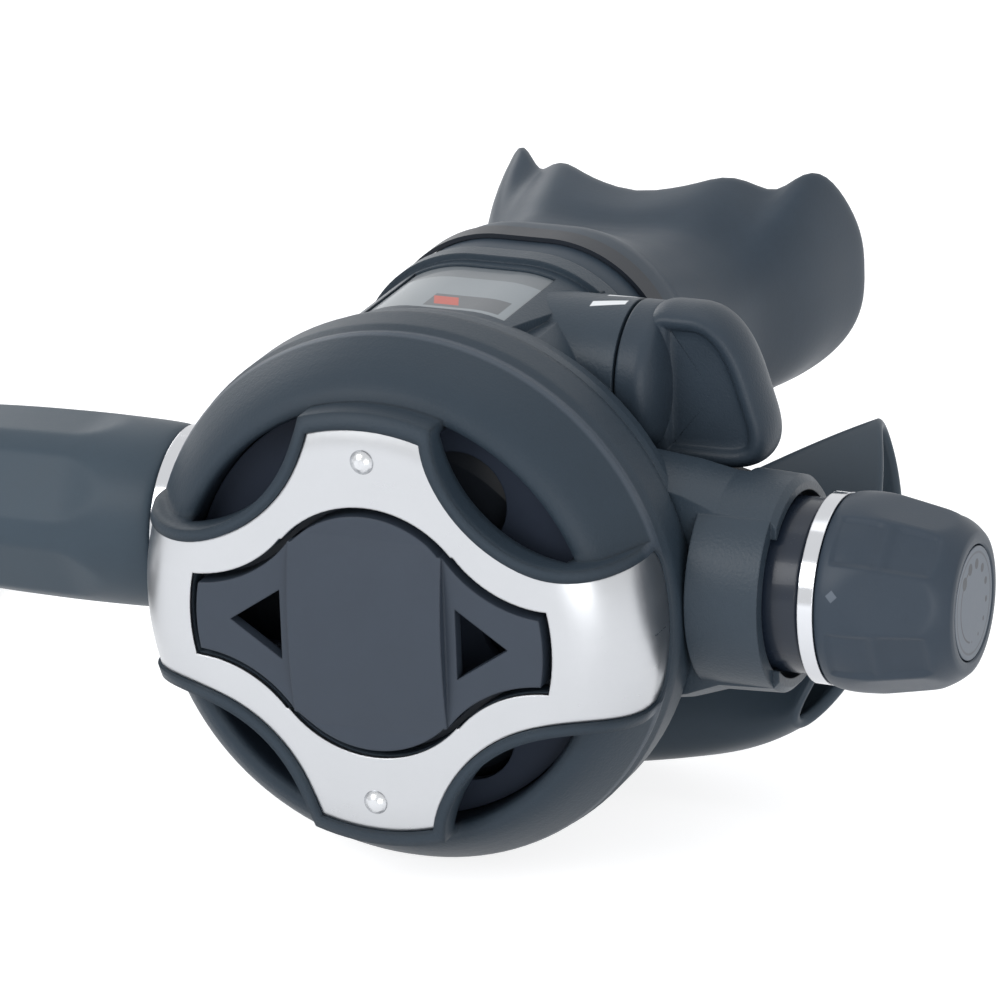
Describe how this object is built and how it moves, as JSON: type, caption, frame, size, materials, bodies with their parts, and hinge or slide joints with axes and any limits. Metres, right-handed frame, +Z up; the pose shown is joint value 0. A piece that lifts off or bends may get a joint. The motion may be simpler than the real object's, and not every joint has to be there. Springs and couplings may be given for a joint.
{
  "type": "scuba regulator second stage",
  "caption": "Adjustable diving regulator second stage with purge cover, adjustment knob, venturi lever, rubber mouthpiece, exhaust tee and the start of its hose.",
  "frame": {"origin": "middle of the regulator without its free hose, on the surface that the cover's lower edge rests on", "axes": "+X towards the adjustment knob, +Y back to the mouthpiece, +Z up"},
  "size_m": [0.3074, 0.1715, 0.0718],
  "materials": {
    "body_plastic": "fine-grained moulded plastic",
    "cover_plastic": "fine-grained moulded plastic",
    "inner_plastic": "plain moulded plastic",
    "button_plastic": "smooth satin plastic",
    "satin_steel": "satin stainless sheet",
    "steel": "turned stainless steel",
    "spring_steel": "drawn spring wire",
    "plated_brass": "chromed brass",
    "chrome_ring": "polished chrome",
    "brass": "turned brass",
    "silicone": "soft silicone",
    "seal_rubber": "smooth seal rubber",
    "gloss_collar": "glossy black collar",
    "knob_plastic": "satin grip plastic",
    "sleeve_rubber": "satin rubber",
    "lever_plastic": "grained moulded plastic",
    "label_print": "silver print under a clear coat",
    "tee_rubber": "satin moulded rubber",
    "mouth_rubber": "satin silicone",
    "strap_plastic": "nylon",
    "hose_rubber": "smooth black hose rubber"
  },
  "bodies": {
    "regulator": {"case": "body_plastic", "front_cover": "cover_plastic", "trim_plate": "satin_steel", "trim_rivets": "steel", "cover_spider": "inner_plastic", "purge_spring": "spring_steel", "diaphragm": "silicone", "valve_barrel": "plated_brass", "inlet_orifice": "brass", "orifice_o_ring": "seal_rubber", "poppet_spring": "spring_steel", "spindle_o_ring": "seal_rubber", "packing_nut": "gloss_collar", "inlet_nut": "chrome_ring", "hose_nut": "plated_brass", "hose_ferrule": "plated_brass", "hose_sleeve": "sleeve_rubber", "vane_o_ring": "seal_rubber", "label_plate": "label_print", "exhaust_valve": "silicone", "exhaust_tee": "tee_rubber", "mouthpiece": "mouth_rubber", "mouthpiece_strap": "strap_plastic", "hose_run": "hose_rubber", "hose_coil": "hose_rubber", "hose_tie": "strap_plastic", "end_ferrule": "plated_brass", "end_fitting": "plated_brass", "end_o_rings": "seal_rubber"},
    "purge": {"purge_button": "button_plastic"},
    "disc": {"diaphragm_disc": "steel"},
    "lever": {"demand_lever": "steel"},
    "poppet": {"poppet": "brass", "poppet_seat": "seal_rubber"},
    "knob": {"adjust_knob": "knob_plastic", "knob_ring": "chrome_ring", "knob_cap": "knob_plastic", "adjust_spindle": "steel"},
    "pad": {"spring_pad": "brass"},
    "venturi": {"venturi_lever": "lever_plastic", "venturi_vane": "lever_plastic"}
  },
  "joints": [
    {"name": "purge_slide", "type": "slide", "parent": "regulator", "child": "purge", "axis": [0, 1, 0], "range_m": [0, 0.0035], "stiffness_N_per_m": 800, "deforming": ["purge_spring", "diaphragm"]},
    {"name": "disc_slide", "type": "slide", "parent": "regulator", "child": "disc", "axis": [0, 1, 0], "range_m": [0, 0.0035], "deforming": ["diaphragm"]},
    {"name": "lever_turn", "type": "hinge", "parent": "regulator", "child": "lever", "pos_m": [0.02898, -0.0287, 0.0369], "axis": [0, 0, 1], "range_deg": [-11.7, 0]},
    {"name": "poppet_slide", "type": "slide", "parent": "regulator", "child": "poppet", "axis": [1, 0, 0], "range_m": [0, 0.0005], "deforming": ["poppet_spring"]},
    {"name": "knob_turn", "type": "hinge", "parent": "regulator", "child": "knob", "pos_m": [0.07497, -0.0287, 0.0369], "axis": [1, 0, 0], "range_deg": [-1080, 0]},
    {"name": "pad_slide", "type": "slide", "parent": "regulator", "child": "pad", "axis": [-1, 0, 0], "range_m": [0, 0.003], "deforming": ["poppet_spring"]},
    {"name": "venturi_turn", "type": "hinge", "parent": "regulator", "child": "venturi", "pos_m": [0.04297, -0.0192, 0.0599], "axis": [1, 0, 0], "range_deg": [0, 55]}
  ],
  "couplings": [
    {"joint": "disc_slide", "follows": "purge_slide", "ratio": 1},
    {"joint": "lever_turn", "follows": "purge_slide", "rad_per_m": -57.8},
    {"joint": "poppet_slide", "follows": "purge_slide", "ratio": 0.142},
    {"joint": "pad_slide", "follows": "knob_turn", "m_per_rad": -0.000159}
  ]
}
